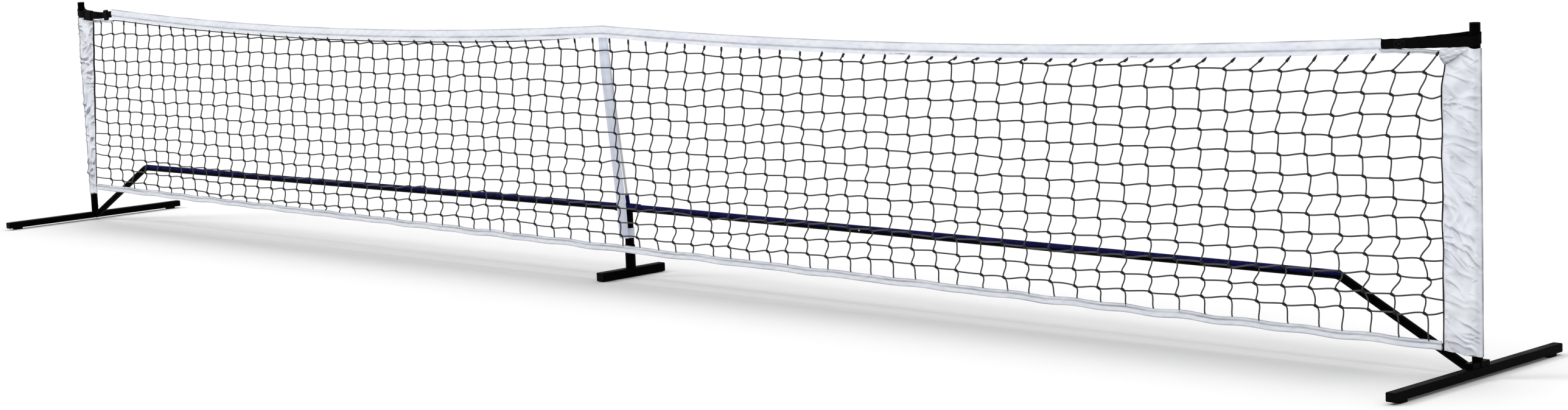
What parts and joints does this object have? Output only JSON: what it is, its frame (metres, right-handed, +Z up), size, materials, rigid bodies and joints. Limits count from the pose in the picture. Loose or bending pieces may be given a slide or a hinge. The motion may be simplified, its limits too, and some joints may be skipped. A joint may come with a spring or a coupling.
{
  "type": "portable pickleball net",
  "caption": "Free-standing portable court net: black steel tube frame on bar feet, braced posts, dark mesh with white tapes and side sleeves, end straps, one with a buckle.",
  "frame": {"origin": "on the ground, midway between the two posts", "axes": "+X along the net towards the right post, +Y to the back, away from the front of the net, +Z up"},
  "size_m": [6.741, 0.842, 0.934],
  "materials": {
    "painted_steel": "near-black satin powder coat",
    "black_plastic": "matte moulded",
    "rubber": "matte",
    "spring_steel": "bright zinc",
    "glass_fibre": "smooth pultruded rod",
    "black_webbing": "woven webbing",
    "white_vinyl": "coated vinyl cloth",
    "white_webbing": "woven band",
    "net_cord": "knotted twine"
  },
  "bodies": {
    "frame": {"band_leg_loop": "white_webbing", "base_bar_centre": "painted_steel", "base_bar_left": "painted_steel", "base_bar_right": "painted_steel", "bottom_tape": "white_vinyl", "buckle_female_left": "black_plastic", "buckle_male_left": "black_plastic", "centre_band": "white_webbing", "centre_leg": "painted_steel", "centre_rod": "glass_fibre", "centre_tee": "painted_steel", "crossbar_inner_left": "painted_steel", "crossbar_inner_right": "painted_steel", "crossbar_outer_left": "painted_steel", "crossbar_outer_right": "painted_steel", "elbow_tube_left": "painted_steel", "elbow_tube_right": "painted_steel", "end_cap_centre_back": "black_plastic", "end_cap_centre_front": "black_plastic", "end_cap_left_back": "black_plastic", "end_cap_left_front": "black_plastic", "end_cap_right_back": "black_plastic", "end_cap_right_front": "black_plastic", "end_strap_right": "black_webbing", "foot_pad_centre_back": "rubber", "foot_pad_centre_front": "rubber", "foot_pad_left_back": "rubber", "foot_pad_left_front": "rubber", "foot_pad_right_back": "rubber", "foot_pad_right_front": "rubber", "net": "net_cord", "post_cap_left": "black_plastic", "post_cap_right": "black_plastic", "post_left": "painted_steel", "post_right": "painted_steel", "post_strap_left": "black_webbing", "rod_tip": "black_plastic", "side_sleeve_left": "white_vinyl", "side_sleeve_right": "white_vinyl", "tape_strap_left": "black_webbing", "top_tape": "white_vinyl"},
    "post_button_left": {"post_button_left": "spring_steel"},
    "brace_button_left": {"brace_button_left": "spring_steel"},
    "outer_button_left": {"outer_button_left": "spring_steel"},
    "inner_button_left": {"inner_button_left": "spring_steel"},
    "tee_button_left": {"tee_button_left": "spring_steel"},
    "buckle_prong_upper_left": {"buckle_prong_upper_left": "black_plastic"},
    "buckle_prong_lower_left": {"buckle_prong_lower_left": "black_plastic"},
    "strap_slide_left": {"strap_slide_left": "black_plastic"},
    "post_button_right": {"post_button_right": "spring_steel"},
    "brace_button_right": {"brace_button_right": "spring_steel"},
    "outer_button_right": {"outer_button_right": "spring_steel"},
    "inner_button_right": {"inner_button_right": "spring_steel"},
    "tee_button_right": {"tee_button_right": "spring_steel"}
  },
  "joints": [
    {"name": "post_button_left_press", "type": "slide", "parent": "frame", "child": "post_button_left", "axis": [0, -1, 0], "range_m": [0, 0.0046], "stiffness_N_per_m": 1500},
    {"name": "brace_button_left_press", "type": "slide", "parent": "frame", "child": "brace_button_left", "axis": [0, -1, 0], "range_m": [0, 0.0046], "stiffness_N_per_m": 1500},
    {"name": "outer_button_left_press", "type": "slide", "parent": "frame", "child": "outer_button_left", "axis": [0.0222, -0.9998, 0], "range_m": [0, 0.0046], "stiffness_N_per_m": 1500},
    {"name": "inner_button_left_press", "type": "slide", "parent": "frame", "child": "inner_button_left", "axis": [0.0222, -0.9998, 0], "range_m": [0, 0.0046], "stiffness_N_per_m": 1500},
    {"name": "tee_button_left_press", "type": "slide", "parent": "frame", "child": "tee_button_left", "axis": [0, -1, 0], "range_m": [0, 0.0046], "stiffness_N_per_m": 1500},
    {"name": "buckle_prong_upper_left_flex", "type": "hinge", "parent": "frame", "child": "buckle_prong_upper_left", "pos_m": [-3.26916, -0.0258, 0.89172], "axis": [0, 1, 0], "range_deg": [0, 14], "stiffness_Nm_per_rad": 0.6},
    {"name": "buckle_prong_lower_left_flex", "type": "hinge", "parent": "frame", "child": "buckle_prong_lower_left", "pos_m": [-3.2704, -0.0258, 0.87036], "axis": [0, -1, 0], "range_deg": [0, 14], "stiffness_Nm_per_rad": 0.6},
    {"name": "strap_slide_left_travel", "type": "slide", "parent": "frame", "child": "strap_slide_left", "axis": [0.9969, 0, 0.079], "range_m": [-0.01, 0.01]},
    {"name": "post_button_right_press", "type": "slide", "parent": "frame", "child": "post_button_right", "axis": [0, -1, 0], "range_m": [0, 0.0046], "stiffness_N_per_m": 1500},
    {"name": "brace_button_right_press", "type": "slide", "parent": "frame", "child": "brace_button_right", "axis": [0, -1, 0], "range_m": [0, 0.0046], "stiffness_N_per_m": 1500},
    {"name": "outer_button_right_press", "type": "slide", "parent": "frame", "child": "outer_button_right", "axis": [-0.0222, -0.9998, 0], "range_m": [0, 0.0046], "stiffness_N_per_m": 1500},
    {"name": "inner_button_right_press", "type": "slide", "parent": "frame", "child": "inner_button_right", "axis": [0.0222, 0.9998, 0], "range_m": [0, 0.0046], "stiffness_N_per_m": 1500},
    {"name": "tee_button_right_press", "type": "slide", "parent": "frame", "child": "tee_button_right", "axis": [0, -1, 0], "range_m": [0, 0.0046], "stiffness_N_per_m": 1500}
  ]
}
